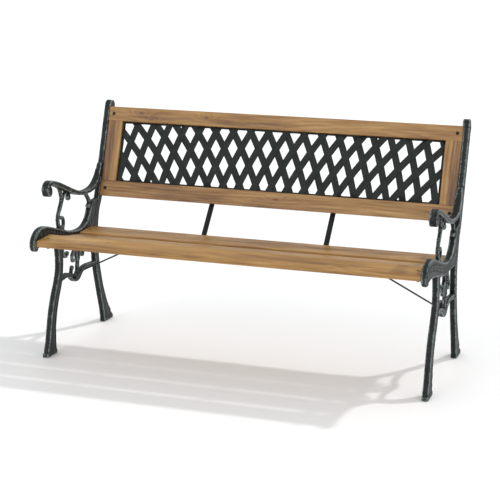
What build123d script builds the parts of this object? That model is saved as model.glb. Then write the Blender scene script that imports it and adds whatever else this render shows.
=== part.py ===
from build123d import *
import os
from math import cos, radians, sin

# Garden bench: two cast-iron end frames, a dished seat of four slats, and a back made of a
# wooden frame round a cast lattice. Millimetres. X runs along the bench, the sitter looks
# towards -Y, Z is up from the ground, and the origin is below the middle of the bench.

# ---- driving dimensions -------------------------------------------------------------------
slat_length = 1164.0        # all boards that span between the end frames
end_clearance = 3.0         # board end to the face of the casting
casting_thickness = 15.0    # plate of an end frame
arm_width = 24.0            # armrest strap and scroll
arm_blend = (48.0, 112.0)   # up the back, where the arm narrows to the post's thickness
hood_overhang = 6.0         # hood of the post, over the end of the top rail
hood_gap = 0.5              # hood to the top rail
foot_width = 20.0           # foot pad, along X
scroll_bar_width = 11.0     # small curls and balusters, along X

slat_width = 88.0
slat_thickness = 18.0
slat_edge_radius = 3.0
front_nose_radius = 8.0     # bull nose on the front slat
bolt_inset = 16.0           # bolt axis to the end of a board
# slat centre (y, z of its top face) and the rise of its front edge in degrees
seat_slats = {
    "seat_slat_front": (-242.0, 384.0, -1.5),
    "seat_slat_mid_front": (-142.0, 367.5, 8.5),
    "seat_slat_mid_rear": (-42.0, 351.0, 8.5),
    "seat_slat_rear": (58.0, 348.5, -2.0),
}

back_lean = 19.1            # degrees from upright
back_foot = (171.0, 438.0)  # y, z of the bottom edge of the back, on its front face
bottom_rail_height = 50.0
top_rail_height = 47.0
opening_height = 197.0      # clear height between the rails
stile_width = 50.0
board_thickness = 20.0      # rails and stiles
board_edge_radius = 2.0
rebate_width = 9.0          # ledge that takes the lattice panel
rebate_depth = 12.0         # measured from the rear face

lattice_thickness = 4.0
lattice_strip_width = 22.0
lattice_side_border = 8.0
lattice_end_border = 5.5    # along the rails
fan_radius = 2037.0         # the strips fan out from a point this far below the waist
fan_waist = 136.7           # height above the lower rail where strips of one number cross
fan_step = 1.607            # degrees between strips
fan_shift = -5.0            # the pattern's middle, from the middle of the bench
# a strip's middle line is an arc through three points: height above the lower rail, and how many
# half steps of the fan it has moved aside there
strip_arc = ((-28.5, -2.81), (130.7, -0.11), (290.0, 2.98))

lug_reach = 34.0            # lug from the casting's face
lug_width = 44.0
lug_thickness = 6.0
bolt_diameter = 6.0
bolt_clearance = 0.3        # on the radius
head_diameter = 10.0
head_height = 3.6
head_recess_diameter = 11.0
head_recess_depth = 4.5
washer_diameter = 15.0
washer_thickness = 1.6
nut_across_flats = 10.0
nut_height = 5.0
nut_projection = 1.5        # bolt end past the nut

dowel_diameter = 8.0
dowel_length = 30.0
dowel_spacing = 24.0
dowel_setback = 7.0         # dowel axis, behind the front face of the back

strap_offset = 200.0        # middle of the bench to each back strap
strap_width = 16.0
strap_thickness = 4.0
strap_lap = 40.0            # length of strap against the bottom rail
strap_setback = 24.0        # strap's front end, behind the front edge of the seat

rod_diameter = 5.0
rod_y = -20.0
rod_foot_height = 220.0
rod_reach = 213.0           # foot to head, along X
rod_pad_radius = 8.0        # flattened ends
rod_pad_length = 13.0       # from the end of the round rod to the fixing through the pad
rod_pad_thickness = 3.0
rod_boss_radius = 12.0      # boss on the stretcher for the rod's foot
rod_setback = 0.2           # rod end to the face under its pad

screw_diameter = 3.5
screw_head_diameter = 7.5
screw_head_height = 2.2
lattice_screw_length = 9.0
lattice_screw_columns = 5   # along each rail
lattice_screw_spacing = 220.0
strap_screw_length = 13.0
rod_screw_length = 12.0
rod_bolt_length = 14.0

# ---- places worked out from the dimensions ------------------------------------------------
half_length = slat_length / 2
inner_face = half_length + end_clearance            # face of a casting that meets the boards
casting_middle = inner_face + casting_thickness / 2
bolt_x = half_length - bolt_inset
bolt_radius = bolt_diameter / 2
hole_radius = bolt_radius + bolt_clearance
recess_radius = head_recess_diameter / 2
back_height = bottom_rail_height + opening_height + top_rail_height
opening_width = slat_length - 2 * stile_width
# strips on each side of the middle one, with three more that only reach in at the corners
fan_strips = round(opening_width / 2 / (fan_radius * radians(fan_step))) + 3
underside = -slat_thickness
rear_face = -board_thickness


def slat_plane(slat):
    """Plane on a slat's top face: x along the bench, y towards the back, z out of the seat."""
    y, z, rise = seat_slats[slat]
    return Plane(origin=(0, y, z), x_dir=(1, 0, 0), z_dir=(0, sin(radians(rise)), cos(radians(rise))))


lean = radians(back_lean)
# plane on the front face of the back: x along the bench, y up the slope, z out of the face
# towards the sitter
back_plane = Plane(origin=(0, *back_foot), x_dir=(1, 0, 0), z_dir=(0, -cos(lean), sin(lean)))


def back_point(up, out):
    """(y, z) of a point `up` the slope of the back and `out` of its front face."""
    y = back_foot[0] + up * sin(lean) - out * cos(lean)
    z = back_foot[1] + up * cos(lean) + out * sin(lean)
    return (y, z)


def save(part, name):
    part.label = name
    export_step(part, f"parts/{name}.step")


def shank(plane, radius, length):
    """Plain rod from the plane's origin, along its normal."""
    with Locations(plane):
        Cylinder(radius, length, align=(Align.CENTER, Align.CENTER, Align.MIN))


def screw(plane, length):
    """Wood screw that goes in along the plane's normal, with its head on the plane's near side."""
    shank(plane, screw_diameter / 2, length)
    with Locations(plane):
        Cone(screw_head_diameter / 4, screw_head_diameter / 2, screw_head_height,
             align=(Align.CENTER, Align.CENTER, Align.MAX))


os.makedirs("parts", exist_ok=True)

# ---- screws, placed first because the boards are drilled for them ---------------------------
panel_width = opening_width + 2 * rebate_width
panel_height = opening_height + 2 * rebate_width
panel_middle = bottom_rail_height + opening_height / 2
lattice_rear = rear_face + rebate_depth - lattice_thickness
ledge_x = (opening_width + rebate_width) / 2
ledge_y = (opening_height + rebate_width) / 2
screw_columns = [
    (column - (lattice_screw_columns - 1) / 2) * lattice_screw_spacing
    for column in range(lattice_screw_columns)
]
lattice_screw_places = [(x, side * ledge_y) for side in (-1, 1) for x in screw_columns]
lattice_screw_places += [(-ledge_x, 0), (ledge_x, 0)]

with BuildPart() as lattice_screws:
    for x, y in lattice_screw_places:
        screw(back_plane * Pos(x, panel_middle + y, lattice_rear), lattice_screw_length)
save(lattice_screws.part, "lattice_screws")

strap_lap_middle = bottom_rail_height / 2
with BuildPart() as strap_screws:
    for x in (-strap_offset, strap_offset):
        for slat in seat_slats:
            screw(slat_plane(slat) * Pos(x, 0, underside - strap_thickness), strap_screw_length)
        screw(back_plane * Pos(x, strap_lap_middle, rear_face - strap_thickness), strap_screw_length)
save(strap_screws.part, "strap_screws")

rod_slat = slat_plane("seat_slat_mid_rear")
rod_head_y = rod_slat.to_local_coords(Vector(0, rod_y, rod_slat.origin.Z)).Y
rod_head_x = inner_face - rod_reach
rod_screw_x = rod_head_x - rod_pad_length
rod_bolt_height = rod_foot_height - rod_pad_length
with BuildPart() as rod_screws:
    for side in (-1, 1):
        screw(rod_slat * Pos(side * rod_screw_x, rod_head_y, underside - rod_pad_thickness), rod_screw_length)
save(rod_screws.part, "stay_rod_screws")

# ---- seat slats ---------------------------------------------------------------------------
for slat in seat_slats:
    with BuildPart(slat_plane(slat)) as board:
        Box(slat_length, slat_width, slat_thickness, align=(Align.CENTER, Align.CENTER, Align.MAX))
        front_edges = board.edges().filter_by(Axis.X).group_by(Axis.Y)[0]
        rear_edges = board.edges().filter_by(Axis.X).group_by(Axis.Y)[-1]
        nosed = slat == "seat_slat_front"
        fillet(front_edges, front_nose_radius if nosed else slat_edge_radius)
        fillet(rear_edges, slat_edge_radius)
        with Locations((-bolt_x, 0, 0), (bolt_x, 0, 0)):
            CounterBoreHole(hole_radius, recess_radius, head_recess_depth)
    with BuildPart() as drilled:
        add(board.part)
        add(strap_screws.part, mode=Mode.SUBTRACT)
        add(rod_screws.part, mode=Mode.SUBTRACT)
    save(drilled.part, slat)

# ---- back frame: rails, stiles and dowels ---------------------------------------------------
top_rail_foot = bottom_rail_height + opening_height
rails = {
    "back_bottom_rail": (bottom_rail_height / 2, bottom_rail_height),
    "back_top_rail": (top_rail_foot + top_rail_height / 2, top_rail_height),
}
dowel_x = half_length - stile_width / 2
dowel_y = [bottom_rail_height, top_rail_foot]
dowel_columns = [
    side * dowel_x + step for side in (-1, 1) for step in (-dowel_spacing / 2, dowel_spacing / 2)
]

with BuildPart(mode=Mode.PRIVATE) as rebate:
    with BuildSketch(back_plane.offset(rear_face)):
        with Locations((0, panel_middle)):
            Rectangle(panel_width, panel_height)
    extrude(amount=rebate_depth)

with BuildPart() as dowels:
    for y in dowel_y:
        with BuildSketch(Plane(back_plane.from_local_coords((0, y - dowel_length / 2, -dowel_setback)),
                               x_dir=(1, 0, 0), z_dir=back_plane.y_dir)):
            with Locations(*[(x, 0) for x in dowel_columns]):
                Circle(dowel_diameter / 2)
        extrude(amount=dowel_length)

# name: middle on the back plane, width, height, holes for the bolts, direction of the grain
back_boards = {
    rail: ((0, middle), slat_length, height, (-bolt_x, bolt_x), Axis.X)
    for rail, (middle, height) in rails.items()
}
up_the_back = Axis((0, 0, 0), back_plane.y_dir)
for name, side in (("back_stile_left", -1), ("back_stile_right", 1)):
    back_boards[name] = ((side * dowel_x, panel_middle), stile_width, opening_height, (), up_the_back)

for name, (middle, width, height, holes, grain) in back_boards.items():
    with BuildPart() as board:
        with BuildSketch(back_plane):
            with Locations(middle):
                Rectangle(width, height)
        extrude(amount=rear_face)
        fillet(board.edges().filter_by(grain), board_edge_radius)
        if holes:
            with Locations(*[back_plane * Pos(x, middle[1], 0) for x in holes]):
                CounterBoreHole(hole_radius, recess_radius, head_recess_depth)
        for cut in (rebate, dowels, lattice_screws, strap_screws):
            add(cut.part, mode=Mode.SUBTRACT)
    save(board.part, name)

save(dowels.part, "back_frame_dowels")

# ---- lattice panel --------------------------------------------------------------------------
def fan_point(height, steps):
    """Point on the back at a height over the lower rail, some steps round the fan."""
    turn = radians(steps * fan_step)
    reach = fan_radius + height - fan_waist
    return (fan_shift + reach * sin(turn), bottom_rail_height + fan_waist - fan_radius + reach * cos(turn))


with BuildPart() as lattice:
    with BuildSketch(back_plane.offset(lattice_rear)):
        with Locations((0, panel_middle)):
            Rectangle(panel_width, panel_height)
            Rectangle(opening_width - 2 * lattice_side_border, opening_height - 2 * lattice_end_border,
                      mode=Mode.SUBTRACT)
        for index in range(-fan_strips, fan_strips + 1):
            for hand in (-1, 1):
                with BuildLine() as strip:
                    ThreePointArc(*[fan_point(height, index + hand * aside / 2)
                                    for height, aside in strip_arc])
                trace(strip.edges(), line_width=lattice_strip_width)
        with Locations((0, panel_middle)):
            Rectangle(panel_width, panel_height, mode=Mode.INTERSECT)
    extrude(amount=lattice_thickness)
    add(lattice_screws.part, mode=Mode.SUBTRACT)
save(lattice.part, "lattice_panel")


# ---- end frames -----------------------------------------------------------------------------
def ribbon(points, widths):
    """A bar of changing width along a smooth line of (y, z) points."""
    line = [Vector(*point) for point in points]
    sides = ([], [])
    for before, point, after, width in zip([line[0], *line], line, [*line[1:], line[-1]], widths):
        across = (after - before).normalized().rotate(Axis.Z, 90) * (width / 2)
        sides[0].append(point + across)
        sides[1].append(point - across)
    with BuildLine() as outline:
        Spline(*sides[0])
        Line(sides[0][-1], sides[1][-1])
        Spline(*reversed(sides[1]))
        Line(sides[1][0], sides[0][0])
    make_face(outline.edges())


def ball(middle, radius):
    with Locations(middle):
        Circle(radius)


post_depth = 27.0
post_middle = 2.0 - post_depth / 2          # post axis, out of the back's front face
cap_radius = 18.0
cap_middle = back_point(back_height + 6.0, post_middle - 2.1)


def draw_legs():
    """Rear post and leg, front leg, and the stretcher between them."""
    up_the_post = [back_point(up, post_middle) for up in (back_height - 24.0, 180.0, 80.0, 0.0)]
    ribbon([cap_middle, *up_the_post, (160, 393), (148, 340), (146, 300), (148, 259), (156, 207), (181, 125),
            (208, 58), (234, 0)],
           [32, 28, 27, 27, 27, 26, 25, 25, 25, 26, 27, 36, 68])
    ball(cap_middle, cap_radius)
    ribbon([(-120, 350), (-116, 300), (-117, 258), (-130, 216), (-153, 172), (-169, 132), (-180, 88),
            (-186, 45), (-192, 0)],
           [34, 27, 25, 30, 32, 33, 35, 43, 68])
    ribbon([(-112, 221), (-82, 226), (-56, 223), (-34, 211), (-10, 200), (12, 202), (32, 214), (58, 222),
            (92, 222), (146, 216)],
           [13, 13, 14, 14, 18, 18, 14, 12, 12, 15])


def draw_seat_rail():
    """Deep plate that the slats are bolted to, from the nose to the post, and the web above it."""
    with BuildLine() as outline:
        Spline((-284, 350), (-297, 366), (-291, 390), (-268, 409), (-235, 415), (-199, 410), (-149, 395),
               (-90, 377), (-35, 362), (20, 356), (62, 362), (95, 381), (108, 402), (113, 425))
        Line((113, 425), (158, 430))
        Line((158, 430), (150, 322))
        Spline((150, 322), (100, 319), (58, 320), (0, 321), (-42, 323), (-92, 333), (-142, 344), (-200, 355),
               (-240, 359), (-262, 357), (-284, 350))
    make_face(outline.edges())
    ball((-277, 358), 10)
    ball((104, 414), 7)


def draw_arm():
    """Armrest strap that falls from its scroll and climbs to the post."""
    ribbon([(-176, 512), (-189, 509), (-195, 522), (-186, 535), (-167, 538), (-140, 531), (-107, 519),
            (-51, 497), (-7, 481), (48, 467), (98, 465), (139, 471), (167, 487), (186, 512), (200, 538)],
           [8, 12, 12, 12, 13, 15, 16, 16, 15, 13, 12, 13, 14, 13, 10])
    ball((-184, 512), 14)


def draw_scrollwork():
    """Thin bars: arm stem and brace, the curls, and the baluster under the seat."""
    ribbon([(-108, 520), (-94, 490), (-90, 468), (-101, 449), (-111, 435), (-119, 416), (-116, 398),
            (-106, 380)],
           [14, 10, 11, 12, 10, 10, 11, 18])
    ribbon([(-92, 462), (-76, 480), (-50, 497)], [9, 8, 9])
    ribbon([(-44, 497), (-40, 482), (-42, 468)], [8, 9, 12])
    ball((-43, 469), 9)
    ribbon([(-92, 378), (-80, 391), (-80, 405), (-89, 414)], [10, 8, 8, 9])
    ball((-90, 414), 6.5)
    ribbon([(72, 464), (96, 447), (114, 420)], [9, 10, 16])
    ribbon([(-96, 345), (-91, 318), (-86, 297), (-73, 285), (-60, 293)], [12, 9, 8, 8, 9])
    ball((-59, 294), 6.5)
    ribbon([(-40, 212), (-33, 226), (-28, 240)], [12, 9, 10])
    ball((-27, 240), 7)
    ribbon([(10, 204), (13, 230), (16, 258)], [16, 12, 14])
    ribbon([(14, 252), (3, 280), (-6, 330)], [10, 8, 11])
    ribbon([(18, 252), (30, 280), (38, 328)], [10, 8, 11])
    ribbon([(-2, 296), (-16, 286), (-24, 270), (-18, 260)], [9, 8, 8, 9])
    ball((-18, 261), 6.5)
    ribbon([(36, 312), (50, 296), (57, 278), (52, 265)], [9, 8, 8, 9])
    ball((52, 266), 6.5)


layers = [
    (draw_legs, casting_thickness),
    (draw_seat_rail, casting_thickness),
    (draw_arm, arm_width),
    (draw_scrollwork, scroll_bar_width),
]
foot_height = 12.0
foot_pads = [(-192.0, 66.0), (234.0, 66.0)]

# hexagon bolts that hold the feet of the stay rods, tapped into the castings
with BuildPart() as rod_bolts:
    for side in (-1, 1):
        under_head = Plane((side * (inner_face - rod_pad_thickness), rod_y, rod_bolt_height),
                           z_dir=(side, 0, 0))
        shank(under_head, bolt_radius, rod_bolt_length)
        with BuildSketch(under_head):
            RegularPolygon(nut_across_flats / 2, 6, major_radius=False)
        extrude(amount=-head_height)
save(rod_bolts.part, "stay_rod_bolts")

with BuildPart() as end_frame:
    for draw, width in layers:
        with BuildSketch(Plane.YZ.offset(casting_middle - width / 2)):
            draw()
        extrude(amount=width)
    # the arm narrows as it climbs the post
    with BuildSketch(back_plane):
        for side in (-1, 1):
            with BuildLine():
                Polyline((casting_middle + side * arm_width / 2, arm_blend[0]),
                         (casting_middle + side * casting_thickness / 2, arm_blend[1]),
                         (casting_middle + side * arm_width, arm_blend[1]),
                         (casting_middle + side * arm_width, arm_blend[0]), close=True)
            make_face()
    extrude(amount=2 * post_depth, both=True, mode=Mode.SUBTRACT)
    # hood over the end of the top rail
    with BuildSketch(Plane.YZ.offset(inner_face - hood_overhang)):
        ball(cap_middle, cap_radius)
        with BuildLine():
            Polyline(*[back_point(back_height + up, out) for up, out in (
                (hood_gap, 2 * post_depth), (hood_gap, -3 * post_depth),
                (2 * post_depth, -3 * post_depth), (2 * post_depth, 2 * post_depth))], close=True)
        make_face(mode=Mode.INTERSECT)
    extrude(amount=hood_overhang + casting_thickness)
    for y, length in foot_pads:
        with Locations((casting_middle, y, 0)):
            Box(foot_width, length, foot_height, align=(Align.CENTER, Align.CENTER, Align.MIN))
    # lugs under the slats and behind the rails, each with a clearance hole
    lug_root = lug_reach + casting_thickness / 2
    for plane, middle, seat in (
        [(slat_plane(slat), 0, underside) for slat in seat_slats]
        + [(back_plane, middle, rear_face) for middle, height in rails.values()]
    ):
        with BuildSketch(plane.offset(seat)):
            with Locations((casting_middle, middle)):
                Rectangle(lug_root, lug_width, align=(Align.MAX, Align.CENTER))
            with Locations((bolt_x, middle)):
                Circle(hole_radius, mode=Mode.SUBTRACT)
        extrude(amount=-lug_thickness)
    # boss on the stretcher that takes the foot of the stay rod
    with BuildSketch(Plane.YZ.offset(inner_face)):
        ball((rod_y, rod_bolt_height), rod_boss_radius)
    extrude(amount=casting_thickness)
    add(rod_bolts.part, mode=Mode.SUBTRACT)
    # nothing reaches below the ground
    split(bisect_by=Plane.XY, keep=Keep.TOP)

save(end_frame.part, "end_frame_right")
save(mirror(end_frame.part, about=Plane.YZ), "end_frame_left")

# ---- back straps ----------------------------------------------------------------------------
strap_run = [back_point(up, rear_face) for up in (strap_lap, 0.0)]
for slat in reversed(seat_slats):
    setback = strap_setback if slat == "seat_slat_front" else 0.0
    for y in (slat_width / 2, setback - slat_width / 2):
        place = slat_plane(slat).from_local_coords((0, y, underside))
        strap_run.append((place.Y, place.Z))

for name, side in (("back_strap_left", -1), ("back_strap_right", 1)):
    with BuildPart() as strap:
        with BuildSketch(Plane.YZ.offset(side * strap_offset - strap_width / 2)):
            with BuildLine():
                Polyline(*strap_run)
                offset(amount=strap_thickness, side=Side.LEFT)
            make_face()
        extrude(amount=strap_width)
        add(strap_screws.part, mode=Mode.SUBTRACT)
    save(strap.part, name)

# ---- stay rods ------------------------------------------------------------------------------
rod_radius = rod_diameter / 2
for name, side in (("stay_rod_left", -1), ("stay_rod_right", 1)):
    foot = Vector(side * inner_face, rod_y, rod_foot_height)
    head_plane = Plane(rod_slat * Pos(side * rod_head_x, rod_head_y, underside))
    pad_middle = (rod_foot_height + rod_bolt_height) / 2
    foot_plane = Plane((side * inner_face, rod_y, pad_middle), x_dir=(0, 0, 1), z_dir=(-side, 0, 0))
    # the ends stop just short of the faces that the pads lie on
    start = foot - Vector(side * (rod_radius / 2 + rod_setback), 0, 0)
    end = head_plane.origin - Vector(0, 0, rod_radius + rod_setback)
    with BuildPart() as rod:
        with BuildSketch(foot_plane):
            SlotCenterToCenter(rod_pad_length, 2 * rod_pad_radius)
        extrude(amount=rod_pad_thickness)
        with BuildSketch(head_plane):
            with Locations((-side * rod_pad_length / 2, 0)):
                SlotCenterToCenter(rod_pad_length, 2 * rod_pad_radius)
        extrude(amount=-rod_pad_thickness)
        shank(Plane(start, z_dir=end - start), rod_radius, (end - start).length)
        for cut in (rod_screws, rod_bolts):
            add(cut.part, mode=Mode.SUBTRACT)
    save(rod.part, name)

# ---- bolts, washers and nuts of the seat and the back ---------------------------------------
fixings = {
    "seat": ([slat_plane(slat) for slat in seat_slats], slat_thickness),
    "back": ([back_plane * Pos(0, middle, 0) for middle, height in rails.values()], board_thickness),
}
head_rim = head_height / 2
for group, (planes, thickness) in fixings.items():
    places = [plane * Pos(x, 0, 0) for plane in planes for x in (-bolt_x, bolt_x)]
    washer_top = -thickness - lug_thickness
    nut_top = washer_top - washer_thickness
    bolt_end = nut_top - nut_height - nut_projection
    with BuildPart() as bolts:
        for place in places:
            with Locations(place * Pos(0, 0, -head_recess_depth)):
                Cylinder(bolt_radius, -bolt_end - head_recess_depth,
                         align=(Align.CENTER, Align.CENTER, Align.MAX))
                Cylinder(head_diameter / 2, head_rim, align=(Align.CENTER, Align.CENTER, Align.MIN))
            with Locations(place * Pos(0, 0, head_rim - head_recess_depth)):
                Cone(head_diameter / 2, head_diameter / 3, head_rim,
                     align=(Align.CENTER, Align.CENTER, Align.MIN))
    save(bolts.part, f"{group}_bolts")
    with BuildPart() as washers:
        for place in places:
            with BuildSketch(place * Pos(0, 0, washer_top)):
                Circle(washer_diameter / 2)
                Circle(hole_radius, mode=Mode.SUBTRACT)
            extrude(amount=-washer_thickness)
    save(washers.part, f"{group}_washers")
    with BuildPart() as nuts:
        for place in places:
            with BuildSketch(place * Pos(0, 0, nut_top)):
                RegularPolygon(nut_across_flats / 2, 6, major_radius=False)
                Circle(bolt_radius, mode=Mode.SUBTRACT)
            extrude(amount=-nut_height)
    save(nuts.part, f"{group}_nuts")
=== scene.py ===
import bpy
import bmesh
import math
import numpy as np
from mathutils import Matrix, Vector


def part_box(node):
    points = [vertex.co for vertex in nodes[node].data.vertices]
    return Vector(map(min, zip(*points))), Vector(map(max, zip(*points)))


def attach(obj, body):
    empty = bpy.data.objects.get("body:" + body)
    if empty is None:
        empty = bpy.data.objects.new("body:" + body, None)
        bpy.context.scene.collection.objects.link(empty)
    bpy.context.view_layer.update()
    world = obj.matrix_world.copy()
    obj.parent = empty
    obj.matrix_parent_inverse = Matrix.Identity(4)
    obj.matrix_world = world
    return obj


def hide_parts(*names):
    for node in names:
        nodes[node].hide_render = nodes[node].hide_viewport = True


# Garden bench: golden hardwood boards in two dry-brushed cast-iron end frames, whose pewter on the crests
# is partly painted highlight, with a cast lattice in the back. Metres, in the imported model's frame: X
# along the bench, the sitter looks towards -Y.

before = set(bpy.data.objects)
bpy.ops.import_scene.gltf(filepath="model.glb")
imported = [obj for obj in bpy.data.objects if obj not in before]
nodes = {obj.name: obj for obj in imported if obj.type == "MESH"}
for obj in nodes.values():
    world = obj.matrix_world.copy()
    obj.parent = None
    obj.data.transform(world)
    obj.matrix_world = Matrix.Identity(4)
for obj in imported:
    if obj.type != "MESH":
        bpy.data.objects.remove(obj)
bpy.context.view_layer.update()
MM = 0.001


# ---- nodes of a material ---------------------------------------------------------------------
def link(tree, source, target):
    tree.links.new(source, target)


def math_node(tree, operation, *values, clamp=False):
    """A Math node; each value is a number or another node's output."""
    node = tree.nodes.new("ShaderNodeMath")
    node.operation = operation
    node.use_clamp = clamp
    for slot, value in zip(node.inputs, values):
        if isinstance(value, (int, float)):
            slot.default_value = value
        else:
            link(tree, value, slot)
    return node.outputs["Value"]


def add(tree, first, second):
    return math_node(tree, "ADD", first, second)


def times(tree, first, second):
    return math_node(tree, "MULTIPLY", first, second)


def noise(tree, vector, scale, detail=3.0, roughness=0.5):
    node = tree.nodes.new("ShaderNodeTexNoise")
    node.inputs["Scale"].default_value = scale
    node.inputs["Detail"].default_value = detail
    node.inputs["Roughness"].default_value = roughness
    link(tree, vector, node.inputs["Vector"])
    return node.outputs["Fac"]


def mapping(tree, vector, location=(0, 0, 0), rotation=(0, 0, 0), scale=(1, 1, 1)):
    node = tree.nodes.new("ShaderNodeMapping")
    node.inputs["Location"].default_value = location
    node.inputs["Rotation"].default_value = rotation
    node.inputs["Scale"].default_value = scale
    link(tree, vector, node.inputs["Vector"])
    return node.outputs["Vector"]


def ramp(tree, factor, *stops):
    """A colour ramp; each stop is (place, colour)."""
    node = tree.nodes.new("ShaderNodeValToRGB")
    points = node.color_ramp.elements
    while len(points) < len(stops):
        points.new(0.5)
    for point, (place, colour) in zip(points, stops):
        point.position = place
        point.color = (*colour, 1.0)
    link(tree, factor, node.inputs["Fac"])
    return node.outputs["Color"]


def grey(value):
    return (value, value, value)


def remap(tree, value, low, high, to_low=0.0, to_high=1.0):
    node = tree.nodes.new("ShaderNodeMapRange")
    for name, number in (("From Min", low), ("From Max", high), ("To Min", to_low), ("To Max", to_high)):
        node.inputs[name].default_value = number
    link(tree, value, node.inputs["Value"])
    return node.outputs["Result"]


def mix(tree, factor, first, second):
    """Colour mix; first and second are colours or outputs."""
    node = tree.nodes.new("ShaderNodeMix")
    node.data_type = "RGBA"
    slots = [s for s in node.inputs if s.enabled]
    for slot, value in zip(slots, (factor, first, second)):
        if isinstance(value, (int, float)):
            slot.default_value = value
        elif isinstance(value, tuple):
            slot.default_value = (*value, 1.0)
        else:
            link(tree, value, slot)
    return [s for s in node.outputs if s.enabled][0]


def group(name, inputs, outputs):
    """A new shader node group; inputs and outputs are (name, socket type, default)."""
    tree = bpy.data.node_groups.new(name, "ShaderNodeTree")
    for title, kind, default in inputs:
        socket = tree.interface.new_socket(title, in_out="INPUT", socket_type=kind)
        if default is not None:
            socket.default_value = default
    for title, kind in outputs:
        tree.interface.new_socket(title, in_out="OUTPUT", socket_type=kind)
    return tree, tree.nodes.new("NodeGroupInput").outputs, tree.nodes.new("NodeGroupOutput").inputs


def place_group(tree, shared, **values):
    """Puts a shared group in a material; underscores in a value's name stand for spaces."""
    node = tree.nodes.new("ShaderNodeGroup")
    node.node_tree = shared
    for name, value in values.items():
        slot = node.inputs[name.replace("_", " ")]
        if isinstance(value, (int, float)):
            slot.default_value = value
        elif isinstance(value, tuple):
            slot.default_value = value if len(slot.default_value) == len(value) else (*value, 1.0)
        else:
            link(tree, value, slot)
    return node.outputs


def new_material(name, metallic=0.0, roughness=0.5, coat=0.0):
    material = bpy.data.materials.new(name)
    material.use_nodes = True
    tree = material.node_tree
    shader = tree.nodes["Principled BSDF"]
    shader.inputs["Metallic"].default_value = metallic
    shader.inputs["Roughness"].default_value = roughness
    shader.inputs["Coat Weight"].default_value = coat
    coordinates = tree.nodes.new("ShaderNodeTexCoord").outputs["Object"]
    return material, tree, shader.inputs, coordinates


def bump(tree, height, normal, distance, strength=1.0):
    node = tree.nodes.new("ShaderNodeBump")
    node.inputs["Distance"].default_value = distance
    node.inputs["Strength"].default_value = strength
    link(tree, height, node.inputs["Height"])
    link(tree, node.outputs["Normal"], normal)


# ---- shared effects ---------------------------------------------------------------------------
def make_knot_group():
    """How near a point is to a knot: Core marks the knot, and Bend pushes the grain round it."""
    tree, given, result = group(
        "knot",
        [("Grain", "NodeSocketVector", None), ("Centre", "NodeSocketVector", None),
         ("Size", "NodeSocketFloat", 0.006)],
        [("Core", "NodeSocketFloat"), ("Bend", "NodeSocketFloat")])
    offset = tree.nodes.new("ShaderNodeVectorMath")
    offset.operation = "SUBTRACT"
    link(tree, given["Grain"], offset.inputs[0])
    link(tree, given["Centre"], offset.inputs[1])
    squeezed = tree.nodes.new("ShaderNodeVectorMath")
    squeezed.operation = "MULTIPLY"
    squeezed.inputs[1].default_value = (0.34, 1.0, 0.10)
    link(tree, offset.outputs[0], squeezed.inputs[0])
    length = tree.nodes.new("ShaderNodeVectorMath")
    length.operation = "LENGTH"
    link(tree, squeezed.outputs[0], length.inputs[0])
    away = math_node(tree, "DIVIDE", length.outputs["Value"], given["Size"])
    square = times(tree, away, away)
    for output, fade in (("Core", -1.6), ("Bend", -0.16)):
        link(tree, math_node(tree, "EXPONENT", times(tree, square, fade)), result[output])
    return tree


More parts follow.
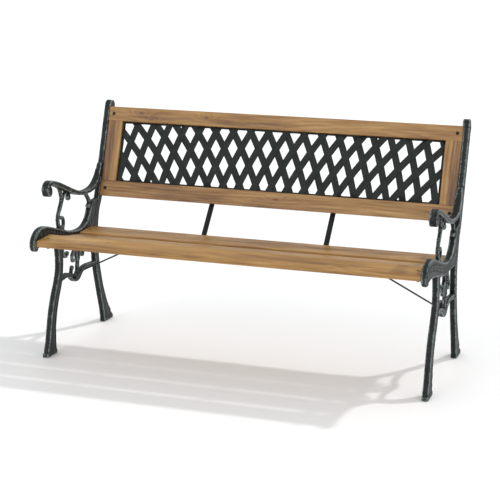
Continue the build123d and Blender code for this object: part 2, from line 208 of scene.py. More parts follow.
def make_grain_group():
    """Long-grained board: growth rings round a far-off pith, fibres, pores and slow drifts of tone.
    Grain runs along X of the vector it is given."""
    tree, given, result = group(
        "long_grain",
        [("Grain", "NodeSocketVector", None), ("Knot Bend", "NodeSocketFloat", 0.0),
         ("Knot Core", "NodeSocketFloat", 0.0), ("Ring Spacing", "NodeSocketFloat", 0.007),
         ("Tone", "NodeSocketFloat", 0.0)],
        [("Color", "NodeSocketColor"), ("Roughness", "NodeSocketFloat"), ("Height", "NodeSocketFloat")])
    grain = given["Grain"]
    wander = noise(tree, mapping(tree, grain, scale=(1.6, 9.0, 9.0)), 1.0, detail=2.0, roughness=0.45)
    ripple = noise(tree, mapping(tree, grain, scale=(9.0, 60.0, 60.0)), 1.0, detail=2.0)
    split = tree.nodes.new("ShaderNodeSeparateXYZ")
    link(tree, grain, split.inputs["Vector"])
    across = times(tree, split.outputs["Y"], split.outputs["Y"])
    deep = times(tree, split.outputs["Z"], split.outputs["Z"])
    shifted = math_node(tree, "SQRT", add(tree, across, deep))
    for pushed, amount in ((wander, 0.05), (ripple, 0.0022), (given["Knot Bend"], 0.016)):
        shifted = add(tree, shifted, times(tree, pushed, amount))
    ring = math_node(tree, "FRACT", math_node(tree, "DIVIDE", shifted, given["Ring Spacing"]))
    late = ramp(tree, ring, (0.0, grey(0.10)), (0.45, grey(0.22)), (0.86, grey(0.85)), (0.97, grey(0.18)))
    drift = noise(tree, mapping(tree, grain, scale=(3.2, 16.0, 16.0)), 1.0, detail=3.0, roughness=0.55)
    streak = noise(tree, mapping(tree, grain, scale=(7.0, 120.0, 120.0)), 1.0, detail=3.0, roughness=0.6)
    fibre = noise(tree, mapping(tree, grain, scale=(22.0, 900.0, 900.0)), 1.0, detail=2.0, roughness=0.7)
    pores = noise(tree, mapping(tree, grain, scale=(45.0, 620.0, 620.0)), 1.0, detail=1.0)
    flecks = remap(tree, pores, 0.66, 0.76)
    value = times(tree, late, 0.20)
    for pattern, share in ((drift, 1.10), (streak, 0.72), (fibre, 0.16)):
        value = add(tree, value, times(tree, pattern, share))
    value = add(tree, value, given["Tone"])
    board = ramp(
        tree, math_node(tree, "SUBTRACT", value, 0.455),
        (0.10, (0.560, 0.345, 0.128)), (0.38, (0.450, 0.252, 0.076)), (0.60, (0.345, 0.177, 0.045)),
        (0.80, (0.230, 0.106, 0.026)), (0.97, (0.120, 0.050, 0.014)))
    board = mix(tree, times(tree, flecks, 0.35), board, (0.120, 0.050, 0.018))
    dark = math_node(tree, "MULTIPLY", given["Knot Core"], 0.92, clamp=True)
    board = mix(tree, dark, board, (0.075, 0.028, 0.011))
    link(tree, board, result["Color"])
    link(tree, remap(tree, streak, 0.3, 0.7, 0.40, 0.54), result["Roughness"])
    height = times(tree, fibre, 0.5)
    for sunk, depth in ((late, -0.35), (flecks, -0.6)):
        height = add(tree, height, times(tree, sunk, depth))
    link(tree, height, result["Height"])
    return tree


def make_dry_brush_and_highlight_group():
    """Dark paint with pewter brushed over what stands proud, partly as dry-brushed finish and partly as
    painted highlight along crests and rims. Ridge is 0 in hollows and 1 on crests.
    """
    tree, given, result = group(
        "dry_brush_and_highlight",
        [("Place", "NodeSocketVector", None), ("Ridge", "NodeSocketFloat", 0.0),
         ("Paint", "NodeSocketColor", None), ("Pewter", "NodeSocketColor", None),
         ("Cover", "NodeSocketFloat", 0.5)],
        [("Color", "NodeSocketColor"), ("Roughness", "NodeSocketFloat"), ("Metallic", "NodeSocketFloat"),
         ("Height", "NodeSocketFloat")])
    place = given["Place"]
    patch = noise(tree, place, 34.0, detail=4.0, roughness=0.6)
    speckle = noise(tree, place, 190.0, detail=4.0, roughness=0.7)
    sand = noise(tree, place, 900.0, detail=2.0, roughness=0.6)
    reach = given["Ridge"]
    # pewter cover: speckled dry brushing, plus painted highlight on the crests when Ridge is the mesh's
    # proud measure
    for pattern, share in ((patch, 0.9), (speckle, 2.2)):
        reach = add(tree, reach, times(tree, add(tree, pattern, -0.5), share))
    brushed_and_highlit = math_node(tree, "MULTIPLY", remap(tree, reach, 0.52, 1.05), given["Cover"], clamp=True)
    shade = mix(tree, remap(tree, patch, 0.35, 0.75), given["Paint"], (0.016, 0.021, 0.020))
    link(tree, mix(tree, brushed_and_highlit, shade, given["Pewter"]), result["Color"])
    link(tree, remap(tree, speckle, 0.25, 0.75, 0.38, 0.58), result["Roughness"])
    link(tree, times(tree, brushed_and_highlit, 0.55), result["Metallic"])
    link(tree, add(tree, times(tree, sand, 0.5), times(tree, speckle, 0.8)), result["Height"])
    return tree


knot_group = make_knot_group()
grain_group = make_grain_group()
dry_brush_and_highlight_group = make_dry_brush_and_highlight_group()


# ---- materials ----------------------------------------------------------------------------------
GLUE_BLEND = 0.0003         # half the width over which a glue line changes the tone


def board_wood(name, middle, turn=(0, 0, 0), pith=(0.0, 0.05, -0.13), tone=0.0, spacing=0.007, knots=(),
               upright=False, glue_line=None):
    """Oiled golden board. middle is the board's middle, turn lays its face level, and pith is where
    the heart of the log lies from there. knots are (along, across, size) on the board. Past the glue
    line, a distance from the bench's middle, a darker length is glued on."""
    material, tree, shader, coordinates = new_material(name, coat=0.12)
    centred = mapping(tree, coordinates, location=tuple(-c for c in middle))
    laid = mapping(tree, centred, rotation=turn)
    if upright:
        laid = mapping(tree, laid, rotation=(0, 0, math.radians(90)))
    if glue_line:
        split = tree.nodes.new("ShaderNodeSeparateXYZ")
        link(tree, coordinates, split.inputs["Vector"])
        out = math_node(tree, "ABSOLUTE", split.outputs["X"])
        seam = math_node(tree, "COMPARE", out, glue_line, 2 * GLUE_BLEND)
        halves = remap(tree, out, glue_line - GLUE_BLEND, glue_line + GLUE_BLEND, tone - 0.06, tone + 0.16)
        tone = add(tree, times(tree, seam, 0.25), halves)
    grain = mapping(tree, laid, location=pith)
    core = bend = None
    for along, across, size in knots:
        found = place_group(tree, knot_group, Grain=laid, Centre=(along, across, 0.0), Size=size)
        core = found["Core"] if core is None else math_node(tree, "MAXIMUM", core, found["Core"])
        bend = found["Bend"] if bend is None else add(tree, bend, found["Bend"])
    extras = {} if core is None else {"Knot_Core": core, "Knot_Bend": bend}
    wood = place_group(tree, grain_group, Grain=grain, Ring_Spacing=spacing, Tone=tone, **extras)
    link(tree, wood["Color"], shader["Base Color"])
    link(tree, wood["Roughness"], shader["Roughness"])
    shader["Coat Roughness"].default_value = 0.35
    bump(tree, wood["Height"], shader["Normal"], 0.0004, 0.55)
    return material


def dry_brush_and_highlight_finish(name, paint, pewter, cover, attribute=None, ridge=0.35):
    """Iron in dark paint. ridge says how proud the surface stands, unless attribute names the mesh's
    own measure of it; pewter laid on by that measure is dry brushing and also painted highlight on crests."""
    material, tree, shader, coordinates = new_material(name)
    if attribute:
        own = tree.nodes.new("ShaderNodeAttribute")
        own.attribute_name = attribute
        ridge = own.outputs["Fac"]
    metal = place_group(tree, dry_brush_and_highlight_group, Place=coordinates, Ridge=ridge, Paint=paint, Pewter=pewter,
                        Cover=cover)
    for output in ("Roughness", "Metallic"):
        link(tree, metal[output], shader[output])
    link(tree, metal["Color"], shader["Base Color"])
    shader["Specular IOR Level"].default_value = 0.22
    bump(tree, metal["Height"], shader["Normal"], 0.0003, 0.6)
    return material


PAINT = (0.007, 0.010, 0.0095)
# pewter on the casting's crests and rims: dry-brushed finish, and painted highlight along the rims
PEWTER_AND_HIGHLIGHT = (0.300, 0.345, 0.345)
casting_paint_and_highlight = dry_brush_and_highlight_finish("casting_dry_brush_and_painted_highlight", PAINT, PEWTER_AND_HIGHLIGHT, 0.8, attribute="proud")
lattice_finish = dry_brush_and_highlight_finish(
    "lattice_paint", (0.005, 0.009, 0.007), (0.040, 0.055, 0.048), 0.4, ridge=0.42)
strap_finish = dry_brush_and_highlight_finish("strap_paint", (0.006, 0.007, 0.007), (0.045, 0.050, 0.050), 0.3, ridge=0.3)
rod_finish = dry_brush_and_highlight_finish("rod_steel", (0.045, 0.052, 0.052), (0.150, 0.165, 0.165), 0.6, ridge=0.45)
fixing_finish = dry_brush_and_highlight_finish("darkened_steel", (0.028, 0.018, 0.010), (0.110, 0.085, 0.060), 0.4, ridge=0.4)


def give(material, *names):
    """A CAD node's whole surface takes this finish."""
    for name in names:
        for slot in nodes[name].material_slots:
            slot.material = material


def middle_of(name):
    low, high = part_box(name)
    return tuple((low + high) / 2)


# ---- boards -------------------------------------------------------------------------------------
# tone darkens or lightens a board, pith moves the rings, and knots are (along, across, size)
boards = {
    "seat_slat_front": dict(tone=-0.03, pith=(3.1, 0.055, -0.11), spacing=0.0085,
                            knots=((0.352, -0.030, 0.0055), (-0.372, 0.010, 0.004))),
    "seat_slat_mid_front": dict(tone=-0.05, pith=(7.7, -0.035, -0.13), spacing=0.0075),
    "seat_slat_mid_rear": dict(tone=0.02, pith=(12.4, 0.065, -0.10), spacing=0.0070,
                               knots=((0.12, 0.02, 0.0045),)),
    "seat_slat_rear": dict(tone=0.0, pith=(17.9, -0.02, -0.14), spacing=0.0080,
                           knots=((0.515, -0.012, 0.006), (-0.20, 0.014, 0.004))),
}
for name, look in boards.items():
    give(board_wood(name.replace("seat_slat", "slat_wood"), middle_of(name), **look), name)

BACK_LEAN = math.radians(19.1)
LAY_BACK = (BACK_LEAN - math.radians(90), 0, 0)          # turns the sloping back's face to lie flat
back_boards = {
    "back_top_rail": dict(tone=0.03, pith=(21.3, 0.045, -0.12), spacing=0.0065,
                          knots=((-0.470, 0.006, 0.005), (-0.432, -0.014, 0.0035),
                                 (-0.245, 0.004, 0.004))),
    "back_bottom_rail": dict(tone=0.02, pith=(26.8, 0.07, -0.09), spacing=0.0080,
                             knots=((0.015, 0.002, 0.005),)),
}
for name, look in back_boards.items():
    give(board_wood(name.replace("back", "wood"), middle_of(name), turn=LAY_BACK, **look), name)

for name, tone, heart in (("back_stile_left", 0.02, 31.2), ("back_stile_right", 0.06, 35.6)):
    stile = board_wood(name.replace("back", "wood"), middle_of(name), turn=LAY_BACK, tone=tone,
                       pith=(heart, 0.03, -0.05), spacing=0.0075, upright=True, glue_line=0.556)
    give(stile, name)
dowels = "back_frame_dowels"
give(board_wood("dowel_wood", middle_of(dowels), tone=-0.05, spacing=0.004), dowels)
give(strap_finish, "back_strap_left", "back_strap_right")
give(rod_finish, "stay_rod_left", "stay_rod_right")
give(fixing_finish, "seat_bolts", "seat_washers", "seat_nuts", "back_bolts", "back_washers", "back_nuts",
     "stay_rod_bolts", "stay_rod_screws", "strap_screws", "lattice_screws")


# ---- bars of a casting ----------------------------------------------------------------------------
def follow(points, widths, pitch=3.0):
    """Points and widths, closer together, along a smooth line through (y, z) points in mm."""
    line = [Vector(p) for p in points]
    ends = [2 * line[0] - line[1], *line, 2 * line[-1] - line[-2]]
    run = []
    for index in range(len(line) - 1):
        a, b, c, d = ends[index:index + 4]
        steps = max(2, round((c - b).length / pitch))
        for step in range(steps):
            t = step / steps
            place = 0.5 * ((2 * b) + (c - a) * t + (2 * a - 5 * b + 4 * c - d) * t ** 2
                           + (3 * b - a - 3 * c + d) * t ** 3)
            run.append((place, widths[index] + (widths[index + 1] - widths[index]) * t))
    run.append((line[-1], widths[-1]))
    return run


def as_mesh(shape):
    """The finished bmesh as a mesh of its own."""
    mesh = bpy.data.meshes.new("part")
    shape.to_mesh(mesh)
    shape.free()
    return mesh


def bar(parts, run, depth, middle=0.0, sides=12, square=1.0):
    """Bar along a run, depth thick in X round x = middle, all in mm. square under 1 flattens its
    sides, and depth and middle may be lists with a value for each point of the run."""
    shape = bmesh.new()
    rings = []
    for index, (place, width) in enumerate(run):
        along = Vector((0, *heading(run, index)))
        across = Vector((0, -along.z, along.y))
        thick = depth[index] if isinstance(depth, list) else depth
        aside = middle[index] if isinstance(middle, list) else middle
        spot = Matrix.Translation((aside, place.x, place.y))
        turn = Matrix((Vector((1, 0, 0)), across, along)).transposed().to_4x4()
        size = Matrix.Diagonal((thick / 2, width / 2, 1, 1))
        ended = index in (0, len(run) - 1)
        ring = bmesh.ops.create_circle(shape, cap_ends=ended, segments=sides, radius=1)["verts"]
        for corner in ring:
            corner.co.x = math.copysign(abs(corner.co.x) ** square, corner.co.x)
            corner.co.y = math.copysign(abs(corner.co.y) ** square, corner.co.y)
        bmesh.ops.transform(shape, matrix=spot @ turn @ size, verts=ring)
        rings.append(list({edge for corner in ring for edge in corner.link_edges}))
    for near, far in zip(rings, rings[1:]):
        bmesh.ops.bridge_loops(shape, edges=near + far)
    bmesh.ops.recalc_face_normals(shape, faces=shape.faces)
    parts.append(as_mesh(shape))


def bead(parts, x, place, radius, stretch=(1, 1, 1), turn=0.0):
    """Ball or leaf, stretched in X, along and across, and turned in the frame's plane by degrees."""
    spot = Matrix.Translation((x, place[0], place[1])) @ Matrix.Rotation(math.radians(turn), 4, "X")
    shape = bmesh.new()
    bmesh.ops.create_uvsphere(shape, u_segments=12, v_segments=8, radius=radius,
                              matrix=spot @ Matrix.Diagonal((*stretch, 1)))
    parts.append(as_mesh(shape))


def heading(run, index):
    """Direction of a run at one of its points, in (y, z)."""
    return (run[min(index + 1, len(run) - 1)][0] - run[max(index - 1, 0)][0]).normalized()


def sideways(run, index):
    ahead = heading(run, index)
    return Vector((-ahead.y, ahead.x))


def slope(run, index):
    """Degrees that a run climbs at one of its points."""
    ahead = heading(run, index)
    return math.degrees(math.atan2(ahead.y, ahead.x))


def edge_run(run, side, inset):
    """The line that follows one edge of a ribbon, a little inside it."""
    return [(place + sideways(run, index) * side * (width / 2 - inset), width)
            for index, (place, width) in enumerate(run)]


def rims(parts, run, faces, size=5.0, inset=1.9):
    """Raised beads along both edges of a ribbon, on each of the faces (x of the face)."""
    for side in (-1, 1):
        line = [(place, size) for place, width in edge_run(run, side, inset)]
        for face in faces:
            bar(parts, line, size, middle=face, sides=8)


def twist(parts, run, reach, thickness, turns, middle=0.0):
    """Two strands wound round a run."""
    count = len(run) - 1
    for start in (0.0, math.pi):
        strand, aside = [], []
        for index, (place, width) in enumerate(run):
            angle = start + turns * 2 * math.pi * index / count
            strand.append((place + sideways(run, index) * reach * math.cos(angle), thickness))
            aside.append(middle + reach * math.sin(angle))
        bar(parts, strand, thickness, middle=aside, sides=8)


# ---- end frames -------------------------------------------------------------------------------------
CASTING_MIDDLE = 592.5
HALF_PLATE = 7.5
HALF_ARM = 12.0
ARM_SWELL = 0.5             # rounded arm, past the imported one
ARM_NARROWING = 4.7         # on each side, where it meets the post
NARROW_STEPS = 20           # steps of the arm's run that it narrows over
BACK_FOOT = Vector((171.0, 438.0))
UP_THE_BACK = Vector((math.sin(BACK_LEAN), math.cos(BACK_LEAN)))
OUT_OF_BACK = Vector((-math.cos(BACK_LEAN), math.sin(BACK_LEAN)))
POST_MIDDLE = -11.5


def back_point(up, out):
    return tuple(BACK_FOOT + UP_THE_BACK * up + OUT_OF_BACK * out)


up_the_post = [back_point(up, POST_MIDDLE) for up in (270.0, 180.0, 80.0, 0.0)]
post = follow([(282, 717), *up_the_post, (160, 393), (148, 340), (146, 300), (148, 259), (156, 207),
               (181, 125), (208, 58), (227, 17)],
              [30, 28, 27, 27, 27, 26, 25, 25, 25, 26, 27, 36, 56])
front_leg = follow([(-120, 350), (-116, 300), (-117, 258), (-130, 216), (-153, 172), (-169, 132),
                    (-180, 88), (-186, 45), (-191, 14)],
                   [34, 27, 25, 30, 32, 33, 35, 43, 58])
stretcher = follow([(-112, 221), (-82, 226), (-56, 223), (-34, 211), (-10, 200), (12, 202), (32, 214),
                    (58, 222), (92, 222), (146, 216)],
                   [13, 13, 14, 14, 18, 18, 14, 12, 12, 15])
rail_top = follow([(-272, 354), (-289, 364), (-286, 386), (-266, 404), (-235, 411), (-199, 406),
                   (-149, 391), (-90, 373), (-35, 358), (20, 352), (60, 358), (91, 378), (106, 402),
                   (118, 424)],
                  [6] * 14)
rail_bottom = follow([(146, 329), (100, 323), (58, 324), (0, 325), (-42, 327), (-92, 337), (-142, 348),
                      (-200, 359), (-240, 364), (-268, 362)],
                     [6] * 10)
rail_middle = follow([(-262, 388), (-225, 388), (-180, 381), (-130, 367), (-80, 354), (-30, 343),
                      (20, 338), (70, 341), (110, 352), (140, 374)],
                     [10] * 10)
arm = follow([(-176, 512), (-189, 509), (-195, 522), (-186, 535), (-167, 538), (-140, 531), (-107, 519),
              (-51, 497), (-7, 481), (48, 467), (98, 465), (139, 471), (167, 487), (186, 512), (200, 538)],
             [8, 12, 12, 12, 13, 15, 16, 16, 15, 13, 12, 13, 14, 13, 10])
stem = follow([(-108, 520), (-94, 490), (-90, 468), (-101, 449), (-111, 435), (-119, 416), (-116, 398),
               (-106, 380)],
              [12, 10, 11, 12, 10, 10, 11, 16])
baluster = follow([(10, 204), (13, 230), (16, 258)], [14, 11, 13])
prongs = [
    follow([(14, 252), (3, 280), (-6, 330)], [10, 8, 11]),
    follow([(18, 252), (30, 280), (38, 328)], [10, 8, 11]),
]
curls = [
    follow([(-92, 462), (-76, 480), (-50, 497)], [9, 8, 9]),
    follow([(-44, 497), (-40, 482), (-42, 468)], [8, 9, 12]),
    follow([(-92, 378), (-80, 391), (-80, 405), (-89, 414)], [10, 8, 8, 9]),
    follow([(72, 464), (96, 447), (114, 420)], [9, 10, 14]),
    follow([(-96, 345), (-91, 318), (-86, 297), (-73, 285), (-60, 293)], [12, 9, 8, 8, 9]),
    follow([(-40, 212), (-33, 226), (-28, 240)], [12, 9, 10]),
    follow([(-2, 296), (-16, 286), (-24, 270), (-18, 260)], [9, 8, 8, 9]),
    follow([(36, 312), (50, 296), (57, 278), (52, 265)], [9, 8, 8, 9]),
]
# (y, z, radius) of the round ends of the curls
curl_ends = [(-43, 469, 9), (-90, 414, 7), (-59, 294, 7.5), (-27, 240, 7.5), (-18, 261, 7), (52, 266, 7)]


def leaf_scroll(parts, run, face):
    """Running vine with a leaf to each side in turn and a bud between them."""
    for start in (0.0, math.pi):
        vine = [(place + sideways(run, index) * math.sin(index * 0.42 + start) * 5.5, 3.6)
                for index, (place, width) in enumerate(run)]
        bar(parts, vine, 3.6, middle=face, sides=6)
    for index in range(4, len(run) - 3, 7):
        place = run[index][0]
        for side in (-1, 1):
            bead(parts, face, place + sideways(run, index) * side * 8.5, 2.9, (0.9, 2.1, 1.0),
                 slope(run, index) + side * 38)
        bead(parts, face, place, 3.0)


def arm_roll(parts):
    """Rolled front end of the arm, with a spiral and an eye on each face."""
    eye = Vector((-184, 521))
    for side in (-1, 1):
        spiral = []
        for step in range(34):
            angle = math.radians(70 + step * 17)
            reach = 13.0 - step * 0.33
            spiral.append((eye + Vector((math.cos(angle), math.sin(angle))) * reach, 4.2))
        bar(parts, spiral, 4.2, middle=side * HALF_ARM, sides=8)
        bead(parts, side * HALF_ARM, eye, 3.6)


def stems(parts):
    """Upright bars with collars and twists: the arm's stem and the baluster under the seat."""
    twist(parts, stem[9:26], 3.9, 5.4, 1.8)
    for index, radius in ((7, 7.4), (10, 6.6), (18, 8.2), (27, 7.6), (30, 6.6)):
        bead(parts, 0, stem[index][0], radius, (1.0, 0.42, 1.0), slope(stem, index))
    twist(parts, baluster, 3.8, 5.8, 1.3)
    bead(parts, 0, (16, 256), 8.4, (1, 1, 0.7))
    bead(parts, 0, (14, 240), 7.4, (1, 1, 1.2))
    bead(parts, 0, (9, 209), 9.4, (1, 1, 0.75))
    for y, z in ((1, 288), (32, 288)):
        bead(parts, 0, (y, z), 6.6, (1.05, 1, 0.9))


def post_leaves(parts):
    """Pairs of leaves up the outside of the post."""
    for index in range(10, 92, 7):
        for side in (-1, 1):
            bead(parts, HALF_PLATE + 0.3, post[index][0] + sideways(post, index) * side * 3.6, 2.3,
                 (0.8, 2.2, 1.0), slope(post, index) + side * 32)


def casting_parts():
    """Everything that stands on the plain plate of the right-hand end frame, in mm, round x = 0."""
    parts = []
    faces = (-HALF_PLATE + 0.4, HALF_PLATE - 0.4)
    for run in (post, front_leg):
        bar(parts, run, 17.0, sides=16)
        rims(parts, run, faces)
    bar(parts, stretcher, 15.5, sides=14)
    rims(parts, stretcher[4:-4], faces, size=3.8, inset=2.2)
    for face in faces:
        for line in (rail_top, rail_bottom):
            bar(parts, line, 7.0, middle=face, sides=10)
    for face in (-HALF_PLATE, HALF_PLATE):
        leaf_scroll(parts, rail_middle, face)
    last = len(arm) - 1
    reach = [HALF_ARM + ARM_SWELL - ARM_NARROWING * max(0.0, 1 - (last - index) / NARROW_STEPS)
             for index in range(last + 1)]
    bar(parts, arm, [2 * half for half in reach], sides=16)
    lip = [(place, 5.0) for place, width in edge_run(arm[14:], -1, 3.0)]
    for side in (-1, 1):
        bar(parts, lip, 5.0, middle=[side * (half - 2.8) for half in reach[14:]], sides=8)
    for curl in [stem, baluster, *prongs, *curls]:
        bar(parts, curl, 12.0, sides=12)
    for y, z, radius in curl_ends:
        bead(parts, 0, (y, z), radius, (1.05, 1, 1))
    arm_roll(parts)
    stems(parts)
    post_leaves(parts)
    # hood of the post, nose of the rail and the barb above the seat
    bead(parts, -2.0, (282, 719), 17.0, (0.56, 1, 0.96))
    bead(parts, 0, (-279, 360), 11.5, (0.95, 1, 1))
    bead(parts, 0, (108, 414), 8.0)
    return parts


SOFTENINGS = 6              # rounds of averaging that the surface's own height is measured from


def measure_proud(mesh):
    """Writes how far each point stands out of its surroundings, 0 in hollows to 1 on crests. The casting's
    pewter, partly painted highlight, follows it.
    """
    count = len(mesh.vertices)
    places = np.zeros(count * 3)
    mesh.vertices.foreach_get("co", places)
    places = places.reshape(-1, 3)
    normals = np.zeros(count * 3)
    mesh.vertices.foreach_get("normal", normals)
    normals = normals.reshape(-1, 3)
    edges = np.zeros(len(mesh.edges) * 2, np.int64)
    mesh.edges.foreach_get("vertices", edges)
    ends = edges.reshape(-1, 2)
    degree = np.bincount(edges, minlength=count).clip(1)

    def average(values):
        columns = []
        for column in values.T:
            total = np.bincount(ends[:, 0], column[ends[:, 1]], count)
            total += np.bincount(ends[:, 1], column[ends[:, 0]], count)
            columns.append(total / degree)
        return np.array(columns).T

    soft = places
    for _ in range(SOFTENINGS):
        soft = average(soft)
    proud = average(((places - soft) * normals).sum(1, keepdims=True))
    low, high = np.percentile(proud, (12, 97))
    values = ((proud[:, 0] - low) / (high - low)).clip(0, 1)
    mesh.attributes.new("proud", "FLOAT", "POINT").data.foreach_set("value", values.astype(np.float32))


def show(name, mesh, finish, slot, *replaced):
    """Puts a finished mesh in the scene in place of CAD nodes."""
    for face in mesh.polygons:
        face.use_smooth = True
    mesh.materials.clear()
    mesh.materials.append(finish)
    piece = bpy.data.objects.new(name, mesh)
    bpy.context.scene.collection.objects.link(piece)
    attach(piece, "root")
    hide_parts(*replaced)


def joined(parts):
    """One bmesh of all the parts, whose own meshes are removed."""
    whole = bmesh.new()
    for mesh in parts:
        whole.from_mesh(mesh)
        bpy.data.meshes.remove(mesh)
    return whole


GRIT = 2.0                  # smallest detail that the sand holds


def cast_end_frame():
    """Right-hand casting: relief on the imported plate, fused and softened as it comes from the sand."""
    relief = joined(casting_parts())
    place = Matrix.Translation((CASTING_MIDDLE * MM, 0, 0)) @ Matrix.Scale(MM, 4)
    bmesh.ops.transform(relief, matrix=place, verts=relief.verts)
    plate = bmesh.new()
    plate.from_mesh(nodes["end_frame_right"].data)
    bmesh.ops.remove_doubles(plate, verts=plate.verts, dist=0.00001)
    plate.from_mesh(as_mesh(relief))
    rough = bpy.data.objects.new("rough", as_mesh(plate))
    bpy.context.scene.collection.objects.link(rough)
    fuse = rough.modifiers.new("fuse", "REMESH")
    fuse.mode = "VOXEL"
    fuse.voxel_size = GRIT * MM
    soften = rough.modifiers.new("soften", "SMOOTH")
    soften.factor = 0.5
    soften.iterations = 2
    bpy.context.view_layer.update()
    cast = bpy.data.meshes.new_from_object(rough.evaluated_get(bpy.context.evaluated_depsgraph_get()))
    bpy.data.objects.remove(rough)
    measure_proud(cast)
    return cast


def mirrored(mesh):
    """Copy on the other side of the bench's middle."""
    turned = bmesh.new()
    turned.from_mesh(mesh)
    bmesh.ops.transform(turned, matrix=Matrix.Diagonal((-1, 1, 1, 1)), verts=turned.verts)
    bmesh.ops.recalc_face_normals(turned, faces=turned.faces)
    return as_mesh(turned)


right_casting = cast_end_frame()
left_casting = mirrored(right_casting)
show("casting_right", right_casting, casting_paint_and_highlight, "casting", "end_frame_right")
show("casting_left", left_casting, casting_paint_and_highlight, "casting", "end_frame_left")


# ---- lattice ----------------------------------------------------------------------------------------
BOTTOM_RAIL, OPENING = 50.0, 197.0
HALF_OPENING, REBATE = 532.0, 8.6
FAN_RADIUS, FAN_WAIST, FAN_STEP, FAN_SHIFT = 2037.0, 136.7, 1.607, -5.0
FAN_STRIPS, STRIP_WIDTH, STRIP_THICKNESS = 12, 22.0, 3.2
STRIP_ARC = ((-28.5, -2.81), (130.7, -0.11), (290.0, 2.98))     # height, half steps aside
SIDE_BORDER, END_BORDER = 8.0 + REBATE, 5.5 + REBATE
BORDER_FRONT, PANEL_REAR = -8.4, -12.0
HALF_PANEL = HALF_OPENING + REBATE
PANEL_FOOT = BOTTOM_RAIL - REBATE
PANEL_HEAD = BOTTOM_RAIL + OPENING + REBATE


def fan_point(height, steps):
    """Point (along the bench, up the back) at a height over the lower rail, some steps round the fan."""
    turn = math.radians(steps * FAN_STEP)
    reach = FAN_RADIUS + height - FAN_WAIST
    return Vector((FAN_SHIFT + reach * math.sin(turn),
                   BOTTOM_RAIL + FAN_WAIST - FAN_RADIUS + reach * math.cos(turn)))


def arc_run(points, width, pieces=10):
    """A run along the curve through three points."""
    first, second, third = points
    run = []
    for step in range(pieces + 1):
        t = step / pieces
        place = first * (1 - t) * (1 - 2 * t) + second * 4 * t * (1 - t) + third * t * (2 * t - 1)
        run.append((place, width))
    return run


def flat_strip(parts, run, front, rear):
    """A flat strip between two depths from the front of the back."""
    bar(parts, run, front - rear, middle=(front + rear) / 2, sides=16, square=0.3)


def lattice_parts():
    """Strips of the two hands and the border, with their places as (along, up) and depth as X."""
    parts = []
    for hand, front in ((1, -8.0), (-1, -8.8)):
        for index in range(-FAN_STRIPS, FAN_STRIPS + 1):
            line = [fan_point(height, index + hand * aside / 2) for height, aside in STRIP_ARC]
            flat_strip(parts, arc_run(line, STRIP_WIDTH), front, front - STRIP_THICKNESS)
    for height in (PANEL_FOOT + END_BORDER / 2, PANEL_HEAD - END_BORDER / 2):
        run = [(Vector((along, height)), END_BORDER) for along in (-HALF_PANEL, HALF_PANEL)]
        flat_strip(parts, run, BORDER_FRONT, PANEL_REAR)
    for along in (SIDE_BORDER / 2 - HALF_PANEL, HALF_PANEL - SIDE_BORDER / 2):
        run = [(Vector((along, height)), SIDE_BORDER) for height in (PANEL_FOOT, PANEL_HEAD)]
        flat_strip(parts, run, BORDER_FRONT, PANEL_REAR)
    return parts


def build_lattice():
    """One hand of strips stands a little proud of the other, as in the casting pattern."""
    shape = joined(lattice_parts())
    for point, outward in (((0, HALF_PANEL, 0), (0, 1, 0)), ((0, -HALF_PANEL, 0), (0, -1, 0)),
                           ((0, 0, PANEL_HEAD), (0, 0, 1)), ((0, 0, PANEL_FOOT), (0, 0, -1))):
        everything = shape.verts[:] + shape.edges[:] + shape.faces[:]
        bmesh.ops.bisect_plane(shape, geom=everything, plane_co=point, plane_no=outward, clear_outer=True)
    open_edges = [edge for edge in shape.edges if len(edge.link_faces) == 1]
    bmesh.ops.holes_fill(shape, edges=open_edges)
    up, out = UP_THE_BACK, OUT_OF_BACK
    lay = Matrix(((0, 1, 0, 0), (out.x, 0, up.x, BACK_FOOT.x), (out.y, 0, up.y, BACK_FOOT.y),
                  (0, 0, 0, 1)))
    bmesh.ops.transform(shape, matrix=Matrix.Scale(MM, 4) @ lay, verts=shape.verts)
    bmesh.ops.recalc_face_normals(shape, faces=shape.faces)
    return as_mesh(shape)


show("lattice", build_lattice(), lattice_finish, "lattice", "lattice_panel")


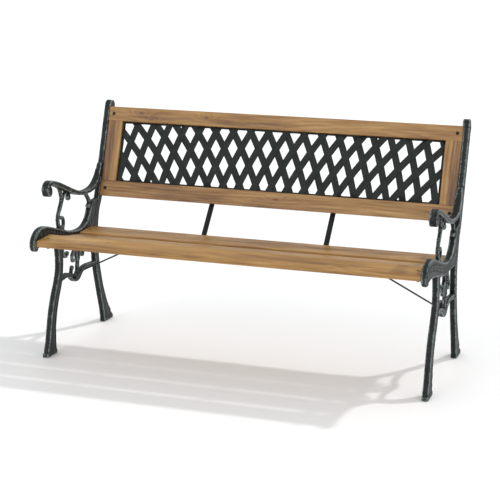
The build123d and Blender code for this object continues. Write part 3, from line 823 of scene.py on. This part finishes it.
# ---- floor, light and camera ------------------------------------------------------------------------
def build_floor():
    """Pale studio floor."""
    shape = bmesh.new()
    bmesh.ops.create_grid(shape, x_segments=1, y_segments=1, size=40.0)
    mesh = bpy.data.meshes.new("floor")
    shape.to_mesh(mesh)
    floor = bpy.data.objects.new("floor", mesh)
    bpy.context.scene.collection.objects.link(floor)
    material, tree, shader, coordinates = new_material("studio_floor", roughness=0.6)
    shade = noise(tree, coordinates, 1.2, detail=2.0)
    link(tree, ramp(tree, shade, (0.3, grey(0.945)), (0.7, grey(0.96))), shader["Base Color"])
    mesh.materials.append(material)


def build_light():
    """Bright even studio round the bench, and a high lamp behind its right-hand end."""
    world = bpy.data.worlds.new("studio")
    world.use_nodes = True
    world.node_tree.nodes["Background"].inputs["Color"].default_value = (0.975, 0.988, 1.0, 1.0)
    world.node_tree.nodes["Background"].inputs["Strength"].default_value = 0.84
    bpy.context.scene.world = world
    lamps = {
        "key": ((-0.55, -0.62, -1.0), 1.15, 3.0),
        "front_fill": ((0.25, 0.85, -0.45), 0.5, 25.0),
    }
    for name, (direction, strength, spread) in lamps.items():
        lamp = bpy.data.lights.new(name, "SUN")
        lamp.energy = strength
        lamp.angle = math.radians(spread)
        sun = bpy.data.objects.new(name, lamp)
        sun.rotation_euler = Vector(direction).to_track_quat("-Z", "Y").to_euler()
        sun.location = -Vector(direction) * 3
        bpy.context.scene.collection.objects.link(sun)


def build_camera():
    """Standing viewer to the right of the bench's middle, looking slightly down."""
    lens = bpy.data.cameras.new("viewer")
    lens.sensor_width = 36.0
    lens.lens = 105.977
    camera = bpy.data.objects.new("viewer", lens)
    camera.location = (1.3782, -4.1279, 1.3849)
    camera.rotation_mode = "XYZ"
    azimuth, down, roll = (math.radians(angle) for angle in (18.548, 13.491, 0.443))
    aim = Matrix.Rotation(azimuth, 4, "Z") @ Matrix.Rotation(math.radians(90) - down, 4, "X")
    camera.rotation_euler = (aim @ Matrix.Rotation(roll, 4, "Z")).to_euler("XYZ")
    bpy.context.scene.collection.objects.link(camera)
    bpy.context.scene.camera = camera


build_floor()
build_light()
build_camera()
bpy.context.scene.view_settings.view_transform = "Standard"
